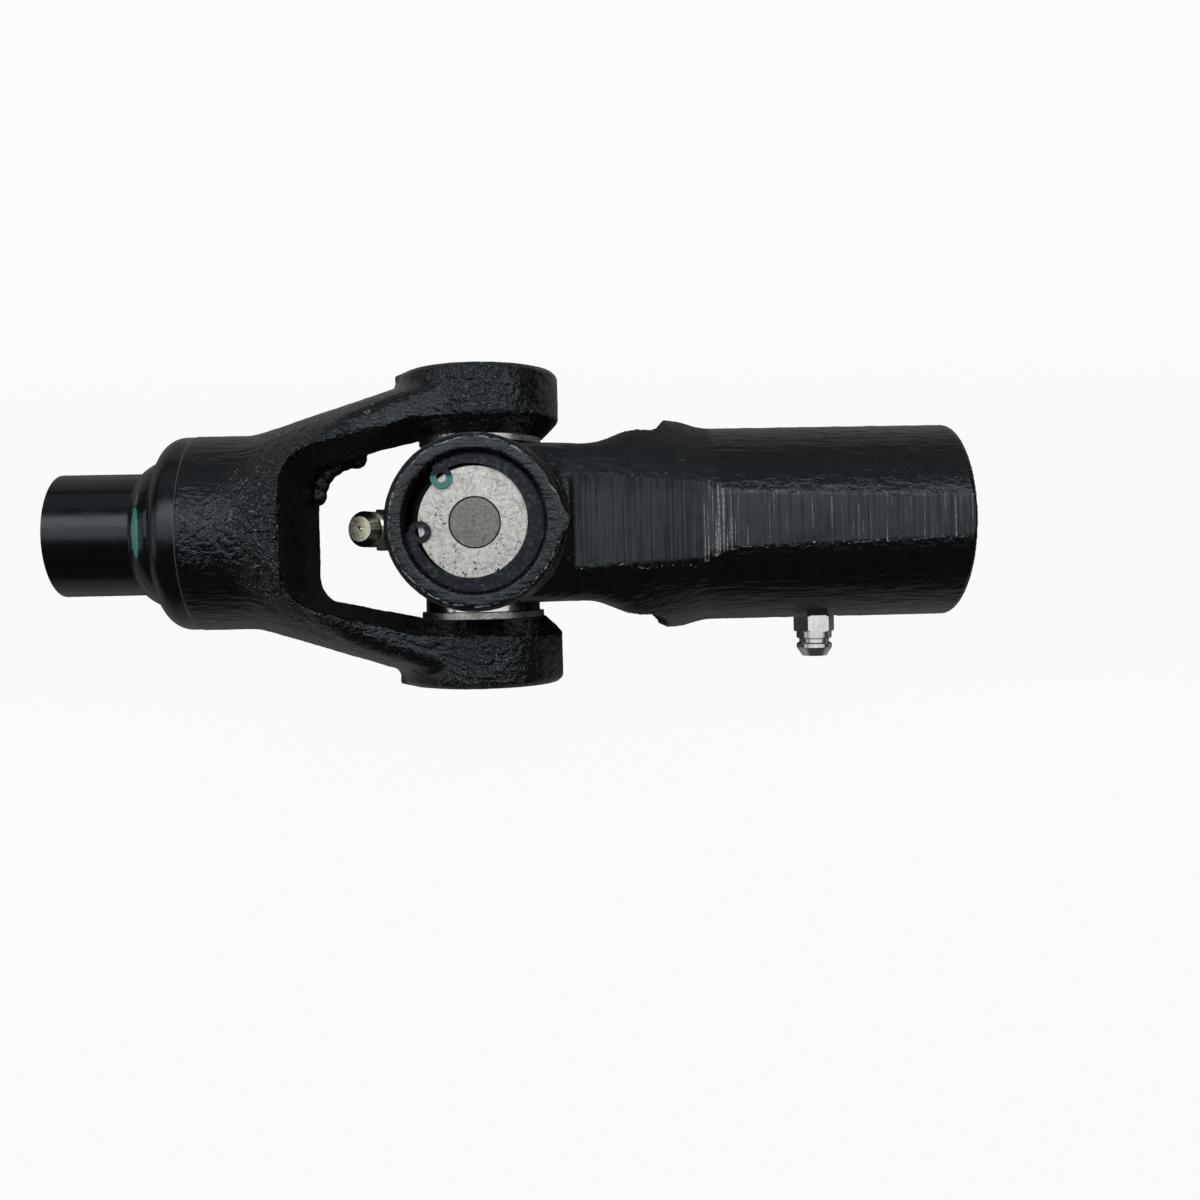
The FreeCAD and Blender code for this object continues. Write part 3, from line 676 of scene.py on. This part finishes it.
def clear_of_bore(point, across):
    """0 in an ear's bore, 0.3 on its machined face and 1 away from them."""
    from_axis, out = about_bore(point, across)
    beside = step(from_axis, CUP_R + 0.6 * MM, CUP_R + 1.6 * MM)
    below = 1.0 - step(out, EAR_FACE - 1.0 * MM, EAR_FACE - 0.4 * MM)
    return max(0.3, below) * beside if from_axis < EAR_REACH else 1.0


def bore_edge(point, across):
    """1 at the edge of an ear's bore, falling to 0 across its machined face."""
    from_axis, out = about_bore(point, across)
    return (1.0 - step(from_axis, CUP_R, LEAD_R)) if out > EAR_FACE - 0.7 * MM else 0.0


def tube_yoke_as_forged(point):
    on_hub = step(point.x, BAND_X - 0.2 * MM, BAND_X + 0.8 * MM)
    middle = 1.0 - step(abs(point.y), 8.0 * MM, 12.0 * MM)
    lumpy = 0.45 + 0.55 * max(middle, step(point.x, THROAT_X - 8.0 * MM, THROAT_X - 2.0 * MM))
    return on_hub * lumpy * clear_of_bore(point, "y")


def window_edge(point):
    """1 round the window between the hub and the arms, 0 on the hub and the ears."""
    past_hub = step(point.x, THROAT_X - 16.0 * MM, THROAT_X - 11.0 * MM)
    before_ears = 1.0 - step(point.x, JOINT_X - 24.0 * MM, JOINT_X - 19.0 * MM)
    clear_of_flash = step(abs(point.z - FLASH_Z), 2.0 * MM, 4.0 * MM)
    return past_hub * before_ears * clear_of_flash


def sleeve_yoke_as_forged(point):
    from_shaft = math.hypot(point.y, point.z)
    beside_bore = point.x > BORE_END_X + 3.5 * MM
    outside = step(from_shaft, 16.0 * MM, 18.0 * MM) if beside_bore else 1.0
    on_flat = step(abs(point.y), 6.0 * MM, 8.5 * MM) if point.x > NECK_X else 1.0
    mouth = 1.0 - step(point.x, -1.6 * MM, -0.8 * MM)
    ground = max(on_flat, 1.0 - step(abs(point.z), 19.0 * MM, 20.0 * MM))
    return 0.6 * outside * mouth * ground * clear_of_bore(point, "z")


# %% [markdown]
# Each skin stands for the plain yoke, rides on its body and takes its own enamel.

# %% Dress both yokes
tube_yoke = remeshed_copy("tube_yoke", "tube_yoke_skin", add_flash)
soften(tube_yoke, window_edge)
hammer(tube_yoke, tube_yoke_as_forged)
widen_lead(tube_yoke, lambda point: bore_edge(point, "y"))
sleeve_yoke = remeshed_copy("sleeve_yoke", "sleeve_yoke_skin", cut=grind_back)
hammer(sleeve_yoke, sleeve_yoke_as_forged)
widen_lead(sleeve_yoke, lambda point: bore_edge(point, "z"))
dressed = [
    (tube_yoke, "tube_yoke", "tube", tube_yoke_finish),
    (sleeve_yoke, "sleeve_yoke", "sleeve", sleeve_yoke_finish),
]

for piece, node, body, finish in dressed:
    thin_out(piece)
    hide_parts(node)
    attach(piece, body)
    piece.data.materials.clear()
    piece.data.materials.append(finish)
    print(piece.name, "has", len(piece.data.polygons), "faces")

# %% [markdown]
# The tube is drawn, so its enamel lies smooth and glossy, with faint drawing lines along it. The
# weld carries the fitter's green dab, a pale streak beside it and a thin painted glint along its
# toe. All three are places on the bead, measured from the hub's end. The plug takes the same enamel.

# %% Smooth enamel of the tube, weld and plug
DRAWN_STRETCH = (12.0, 900.0, 900.0)
SCUFF_STRETCH = (60.0, 1500.0, 1500.0)
DAB_X = HUB_END_X - 3.1 * MM
DAB_HALF = 0.85 * MM
DAB_Y = -0.2 * MM
DAB_REACH = 5.4 * MM


def smooth_height(material):
    drawn = noise(material, 1.0, 2.0, moved(material, stretch=DRAWN_STRETCH))
    peel = noise(material, 900.0, 2.0)
    return plus(material, times(material, drawn, 0.012), times(material, peel, 0.01))


def smooth_roughness(material):
    return ramp(material, noise(material, 220.0, 3.0), 0.3, 0.7, 0.17, 0.26)


def tube_colour(material):
    scuffs = noise(material, 1.0, 3.0, moved(material, stretch=SCUFF_STRETCH), rough=0.7)
    return blend_colours(material, ramp(material, scuffs, 0.7, 0.76, 0.0, 0.12), ENAMEL, BARE_STEEL_AND_GLINT)


def weld_height(material):
    swell = times(material, noise(material, 260.0, 2.0), 0.25)
    return plus(material, swell, times(material, noise(material, 1200.0, 2.0), 0.02))


def dab_share(material):
    """The green dab: a lens-shaped stroke round the bead, on the side that is seen."""
    ragged = ramp(material, noise(material, 700.0, 2.0), 0.3, 0.7, -0.15, 0.15)
    stretch = (1.0 / DAB_HALF, 1.0 / DAB_REACH, 0.0)
    far = length_of(material, moved(material, DAB_X, DAB_Y, 0.0, stretch))
    above = ramp(material, along(material, "z"), 0.0, 1.0 * MM)
    return times(material, ramp(material, plus(material, far, ragged), 0.93, 1.07, 1.0, 0.0), above)


def weld_colour(material):
    x = along(material, "x")
    y = along(material, "y")
    # Painted glint: the pale line along the weld's toe.
    toe = within(material, x, WELD_TOE_X + 0.15 * MM, WELD_TOE_X + 0.35 * MM, 0.15 * MM)
    streak = within(material, x, DAB_X - 0.2 * MM, DAB_X + 0.15 * MM, 0.2 * MM)
    streak = times(material, streak, within(material, y, 6.0 * MM, 10.0 * MM, 0.8 * MM))
    broken = ramp(material, noise(material, 500.0, 2.0), 0.4, 0.6, 0.2, 0.6)
    pale = times(material, larger(material, times(material, toe, 0.4), streak), broken)
    lined = blend_colours(material, pale, ENAMEL, PALE_PAINT_AND_GLINT)
    return blend_colours(material, dab_share(material), lined, GREEN_PAINT)


tube_finish = enamel("smooth enamel, tube", tube_colour, smooth_roughness, smooth_height)
weld_finish = enamel("smooth enamel, weld", weld_colour, smooth_roughness, weld_height)
plug_finish = enamel("smooth enamel, plug", tube_colour, smooth_roughness, weld_height)
print("made", tube_finish.name, "and", weld_finish.name, "and", plug_finish.name)

# %% [markdown]
# Steel parts are one recipe with a few settings: a colour, a roughness, and marks whose direction
# and depth suit how the piece was made. The ground needles are bright, the pressed guards a little
# less sharp, the spring wire duller, and the cross is dark.

# %% Steel
ROUND_THE_CUP = (500.0, 500.0, 1500.0)
DULLER_SHARE = 0.75


def steel(name, colour, roughness, stretch, depth):
    """Metal with marks drawn out by stretch, and patches that differ a little in shade."""
    material = new_material(name)
    marks = noise(material, 1.0, 3.0, moved(material, JOINT_X, stretch=stretch), rough=0.6)
    patches = noise(material, 240.0, 3.0)
    duller = tuple(channel * DULLER_SHARE for channel in colour[:3]) + (1.0,)
    mixed = blend_colours(material, ramp(material, patches, 0.35, 0.7), colour, duller)
    spread = ramp(material, marks, 0.3, 0.7, roughness * 0.8, roughness * 1.25)
    feed(material, Metallic=1.0, Base_Color=mixed, Roughness=spread)
    feed(material, Normal=bump(material, times(material, marks, depth), MM))
    return material


guard_steel = steel("pressed steel", (0.8, 0.8, 0.78, 1.0), 0.16, ROUND_THE_CUP, 0.02)
needle_steel = steel("polished steel", (0.7, 0.7, 0.69, 1.0), 0.12, (900.0, 900.0, 900.0), 0.004)
cross_steel = steel("dark steel", (0.06, 0.065, 0.065, 1.0), 0.35, (700.0, 700.0, 700.0), 0.05)
wire_steel = steel("spring wire", (0.4, 0.4, 0.39, 1.0), 0.3, (2000.0, 2000.0, 600.0), 0.01)
bright_zinc = steel("bright zinc", (0.8, 0.81, 0.78, 1.0), 0.2, (1500.0, 250.0, 1500.0), 0.02)
yellow_zinc = steel("yellow zinc", (0.86, 0.84, 0.66, 1.0), 0.22, (250.0, 1500.0, 1500.0), 0.03)
print("made", guard_steel.name, "to", yellow_zinc.name)

# %% [markdown]
# The cup's end is ground and has been handled, so it carries fine scratches in every direction and
# small dark pits. Its pressed middle is duller, in a thin dark line. The pattern is laid out round
# the bearing's own axis, which is Z for the sleeve's cups and Y for the tube yoke's.

# %% Bearing cups
CUP_STEEL = (0.66, 0.655, 0.63, 1.0)
CUP_SCRATCH = (0.22, 0.22, 0.205, 1.0)
CUP_MIDDLE = (0.24, 0.243, 0.222, 1.0)
# Near black for the pits, the middle's outline and stains, and the painted shade on the cup's edge.
CUP_DARK_AND_SHADE = (0.012, 0.012, 0.011, 1.0)
SCRATCH_TURNS = (0.3, 1.1, 1.9, 2.8)
SCRATCH_STRETCH = (380.0, 2600.0, 400.0)


def from_bearing_axis(material, across):
    """Distance from the bearing's axis."""
    stretch = (1.0, 1.0, 0.0) if across == "z" else (1.0, 0.0, 1.0)
    return length_of(material, moved(material, JOINT_X, stretch=stretch))


def scratches(material, turn):
    """Fine straight scratches at an angle, seen from the end of the cup."""
    here = moved(material, JOINT_X)
    spun = add(material, "VectorRotate", {"rotation_type": "AXIS_ANGLE"}, i0=here, i3=turn).outputs[0]
    drawn = add(material, "VectorMath", {"operation": "MULTIPLY"}, i0=spun, i1=SCRATCH_STRETCH)
    lines = noise(material, 1.0, 2.0, drawn.outputs[0], rough=0.7)
    return ramp(material, lines, 0.56, 0.7)


def pits(material):
    """Small ragged dark pits, in patches that are thicker towards -Y."""
    spots = noise(material, 1500.0, 2.0, rough=0.6)
    y = along(material, "y")
    patches = noise(material, 330.0, 2.0)
    patches = plus(material, patches, ramp(material, y, -9.0 * MM, 6.0 * MM, 0.08, -0.08))
    return times(material, ramp(material, spots, 0.62, 0.66), ramp(material, patches, 0.5, 0.55))


def cup_edge_shade(material, far, across):
    """Painted shade: the cup's edge beyond its ground face, made near black."""
    axial = size_of(material, along(material, across))
    on_end = ramp(material, axial, EAR_FACE - 4.6 * MM, EAR_FACE - 4.4 * MM)
    return times(material, ramp(material, far, CUP_FACE_R - 0.1 * MM, CUP_FACE_R), on_end)


def cup_colour(material, marks, across):
    """Ground face, duller middle in a thin outline, pits, and painted shade on the edge beyond the
    face.
    """
    far = from_bearing_axis(material, across)
    mottled = times(material, ramp(material, noise(material, 1300.0, 4.0, rough=0.65), 0.35, 0.65), 0.4)
    worn = plus(material, times(material, marks, 0.5), mottled)
    ground = blend_colours(material, worn, CUP_STEEL, CUP_SCRATCH)
    middle = ramp(material, far, DISH_R - 0.1 * MM, DISH_R, 1.0, 0.0)
    stained = blend_colours(material, mottled, CUP_MIDDLE, CUP_DARK_AND_SHADE)
    colour = blend_colours(material, middle, ground, stained)
    outline = within(material, far, DISH_R - 0.18 * MM, DISH_R + 0.06 * MM, 0.06 * MM)
    dark = larger(material, outline, pits(material))
    dark = larger(material, dark, cup_edge_shade(material, far, across))
    return blend_colours(material, dark, colour, CUP_DARK_AND_SHADE)


def cup_finish(across):
    material = new_material("ground bearing steel, " + across)
    first_turn, *other_turns = SCRATCH_TURNS
    marks = scratches(material, first_turn)
    for turn in other_turns:
        marks = larger(material, marks, scratches(material, turn))
    colour = cup_colour(material, marks, across)
    feed(material, Metallic=1.0, Base_Color=colour)
    feed(material, Roughness=ramp(material, noise(material, 500.0, 3.0), 0.3, 0.7, 0.3, 0.42))
    height = times(material, marks, -0.006)
    height = plus(material, height, times(material, noise(material, 1800.0, 2.0), 0.02))
    feed(material, Normal=bump(material, height, MM))
    return material


cup_finishes = {across: cup_finish(across) for across in ("z", "y")}
print("made", cup_finishes["z"].name)

# %% [markdown]
# The circlips are blue-black spring steel. The one seen from above has green paint round one
# plier hole, left by the fitter as a mark.

# %% Circlips
CLIP_STEEL = (0.02, 0.023, 0.028, 1.0)
CLIP_RUBBED = (0.1, 0.107, 0.113, 1.0)


def circlip_finish(name, painted):
    material = new_material(name)
    rubbed = ramp(material, noise(material, 1200.0, 4.0, rough=0.65), 0.52, 0.8)
    colour = blend_colours(material, rubbed, CLIP_STEEL, CLIP_RUBBED)
    feed(material, Metallic=1.0, Roughness=ramp(material, rubbed, 0.0, 1.0, 0.34, 0.5))
    if painted:
        x = JOINT_X + LUG_REACH * math.cos(PAINTED_LUG)
        y = LUG_REACH * math.sin(PAINTED_LUG)
        far = length_of(material, moved(material, x, y, 0.0, (1.0, 1.0, 0.0)))
        inner_side = ramp(material, along(material, "y"), y - 0.2 * MM, y + 0.5 * MM, 1.0, 0.0)
        on_lug = ramp(material, far, LUG_R * 1.15, LUG_R * 1.25, 1.0, 0.0)
        paint = times(material, on_lug, inner_side)
        colour = blend_colours(material, paint, colour, GREEN_PAINT)
        feed(material, Metallic=one_minus(material, paint))
    feed(material, Base_Color=colour)
    feed(material, Normal=bump(material, times(material, noise(material, 1500.0, 3.0), 0.03), MM))
    return material


plain_circlip = circlip_finish("blued spring steel", False)
painted_circlip = circlip_finish("blued spring steel with green paint", True)

# %% [markdown]
# Inside the bearings are rubber seals and nylon thrust washers. Both are moulded: the rubber is
# matt and a little dusty, the nylon creamy and slightly see-through.

# %% Rubber and nylon


def moulded(name, colour, dusty, roughness, through):
    material = new_material(name)
    dust = ramp(material, noise(material, 700.0, 4.0), 0.45, 0.75, 0.0, 0.5)
    feed(material, Base_Color=blend_colours(material, dust, colour, dusty))
    shine = noise(material, 300.0, 2.0)
    feed(material, Roughness=ramp(material, shine, 0.3, 0.7, roughness - 0.08, roughness))
    feed(material, Subsurface_Weight=through, Subsurface_Scale=1.5 * MM)
    feed(material, Normal=bump(material, times(material, noise(material, 2500.0, 2.0), 0.01), MM))
    return material


seal_rubber = moulded("seal rubber", (0.012, 0.012, 0.012, 1.0), (0.03, 0.028, 0.025, 1.0), 0.7, 0.0)
nylon = moulded("nylon", (0.68, 0.62, 0.5, 1.0), (0.6, 0.53, 0.4, 1.0), 0.5, 0.15)
print("made", seal_rubber.name, "and", nylon.name)

# %% [markdown]
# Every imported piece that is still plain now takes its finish. The four bearings are alike, so their
# pieces are found by the first word of their names.

# %% Give each piece its finish
SINGLE = {
    "tube": tube_finish,
    "weld_bead": weld_finish,
    "sleeve_plug": plug_finish,
    "cross": cross_steel,
    "sleeve_nipple": bright_zinc,
    "cross_nipple": yellow_zinc,
    "circlip_sleeve_top": painted_circlip,
}
BY_KIND = {
    "circlip": plain_circlip,
    "needles": needle_steel,
    "thrust": nylon,
    "seal": seal_rubber,
    "guard": guard_steel,
}


def finish_of(name):
    if name in SINGLE:
        return SINGLE[name]
    if name.endswith("_ball"):
        return needle_steel
    if name.endswith("_spring"):
        return wire_steel
    if name.startswith("cup_"):
        return cup_finishes["z" if "sleeve" in name else "y"]
    return BY_KIND[name.split("_")[0]]


for name, piece in nodes.items():
    if name in ("tube_yoke", "sleeve_yoke"):
        continue
    piece.data.materials.clear()
    piece.data.materials.append(finish_of(name))
print("finished", len(nodes) - 2, "packed pieces")

# %% [markdown]
# The floor is large. The camera sees it mostly as plain white light, so the background stays clean
# while the shaft's soft shadow still shows a little. Everything else sees its grey paint as it is
# lit, with painted shade in a strip under the shaft: the grey there is darker, and only beside the
# strip is there a little of the white light. That keeps the shine on the shaft's lower edges quiet.

# %% Floor
FLOOR_SIZE = 8.0
FLOOR_GAP = 0.02 * MM
FLOOR_GREY = (0.46, 0.46, 0.46, 1.0)
# The darker strip under the shaft is painted shade.
SHADE_STRIP_GREY = (0.12, 0.12, 0.12, 1.0)
SHADE_STRIP_HALF = 20.0 * MM
SHADE_STRIP_FADED = 45.0 * MM
WHITE_TO_CAMERA = 0.95
WHITE_TO_MIRRORS = 0.04
bpy.ops.object.select_all(action="DESELECT")
bpy.ops.mesh.primitive_plane_add(size=FLOOR_SIZE, location=(JOINT_X, 0.0, floor_z - FLOOR_GAP))
floor = bpy.context.object
floor.name = "floor"


def floor_paint():
    material = new_material("white floor")
    # Painted shade: darker grey in the strip under the shaft, and no white glow there for mirrors.
    beside = ramp(material, size_of(material, along(material, "y")), SHADE_STRIP_HALF, SHADE_STRIP_FADED)
    colour = blend_colours(material, beside, SHADE_STRIP_GREY, FLOOR_GREY)
    feed(material, Base_Color=colour, Roughness=0.9, Specular_IOR_Level=0.1)
    path = add(material, "LightPath").outputs
    mirrored = larger(material, path["Is Glossy Ray"], path["Is Transmission Ray"])
    mirrored = times(material, mirrored, beside, WHITE_TO_MIRRORS)
    share = plus(material, times(material, path["Is Camera Ray"], WHITE_TO_CAMERA), mirrored)
    glow = add(material, "Emission", Color=(1.0, 1.0, 1.0, 1.0), Strength=1.0).outputs[0]
    mixed = add(material, "MixShader", i0=share, i1=shader(material).outputs[0], i2=glow)
    output = material.node_tree.nodes["Material Output"]
    material.node_tree.links.new(mixed.outputs[0], output.inputs["Surface"])
    return material


floor.data.materials.append(floor_paint())

# %% [markdown]
# One broad soft lamp hangs over the shaft, leaning towards +Y, as in the photograph: its mirror
# image makes the pale band along the tube, brightest where the narrower lamp lies before it. A
# weak one low on the same side lifts the upper edges, and another beyond the tube's end lights the
# faces that look that way. The world is white to the camera, like the floor, and nearly black to
# the shaft, so the other side of each round stays dark.

# %% Lamps and world
ROOM = (0.04, 0.042, 0.045, 1.0)
BACKDROP = (0.95, 0.95, 0.95, 1.0)


def soft_lamp(name, lean_degrees, distance, size, power, towards=(0.0, 1.0)):
    """Adds a lamp that looks at the joint from a distance, leaning from upright."""
    data = bpy.data.lights.new(name, "AREA")
    data.shape = "RECTANGLE"
    data.size, data.size_y = size
    data.energy = power
    lamp = bpy.data.objects.new(name, data)
    bpy.context.scene.collection.objects.link(lamp)
    lean = math.radians(lean_degrees)
    away = Vector((towards[0] * math.sin(lean), towards[1] * math.sin(lean), math.cos(lean)))
    lamp.location = JOINT + away * distance
    lamp.rotation_euler = away.to_track_quat("Z", "Y").to_euler()


soft_lamp("broad lamp", 15.0, distance=1.2, size=(3.4, 1.0), power=11.0)
soft_lamp("bright middle", 24.0, distance=0.55, size=(1.2, 0.18), power=0.6)
soft_lamp("side lamp", 66.0, distance=1.3, size=(2.6, 0.75), power=1.6)
soft_lamp("end lamp", 72.0, distance=1.2, size=(0.7, 0.5), power=0.7, towards=(-1.0, 0.0))

world = bpy.data.worlds.new("dim room")
bpy.context.scene.world = world
world.use_nodes = True
path = add(world, "LightPath").outputs
clear = larger(world, path["Is Camera Ray"], path["Is Transmission Ray"])
sky = blend_colours(world, clear, ROOM, BACKDROP)
world.node_tree.links.new(sky, world.node_tree.nodes["Background"].inputs["Color"])

# %% [markdown]
# The photograph looks straight down at the shaft from about a quarter of a metre. The camera's
# place is counted from the joint's centre, and it is turned by the small angles at which the shaft
# lies in the picture. The shift moves the picture's middle off the lens's axis, as in the crop.
# FOCAL, MIDDLE and PICTURE are in the picture's pixels, FROM_JOINT in millimetres.

# %% Camera
PITCH = math.radians(2.25)
YAW = math.radians(1.2)
FROM_JOINT = Vector((20.93, -9.55, 247.3)) * MM
FOCAL = 1108.2
MIDDLE = Vector((575.6, 571.2))
PICTURE = 1200.0
SENSOR = 36.0
camera_data = bpy.data.cameras.new("camera")
camera_data.sensor_width = SENSOR
camera_data.lens = SENSOR * FOCAL / PICTURE
camera_data.shift_x = (PICTURE / 2 - MIDDLE.x) / PICTURE
camera_data.shift_y = (MIDDLE.y - PICTURE / 2) / PICTURE
camera_data.clip_start = 0.01
camera = bpy.data.objects.new("camera", camera_data)
bpy.context.scene.collection.objects.link(camera)
lie = Matrix.Rotation(YAW, 3, "Z") @ Matrix.Rotation(PITCH, 3, "Y")
camera.location = JOINT + lie.transposed() @ FROM_JOINT
camera.rotation_euler = lie.transposed().to_euler()
bpy.context.scene.camera = camera
bpy.context.scene.view_settings.view_transform = "Standard"
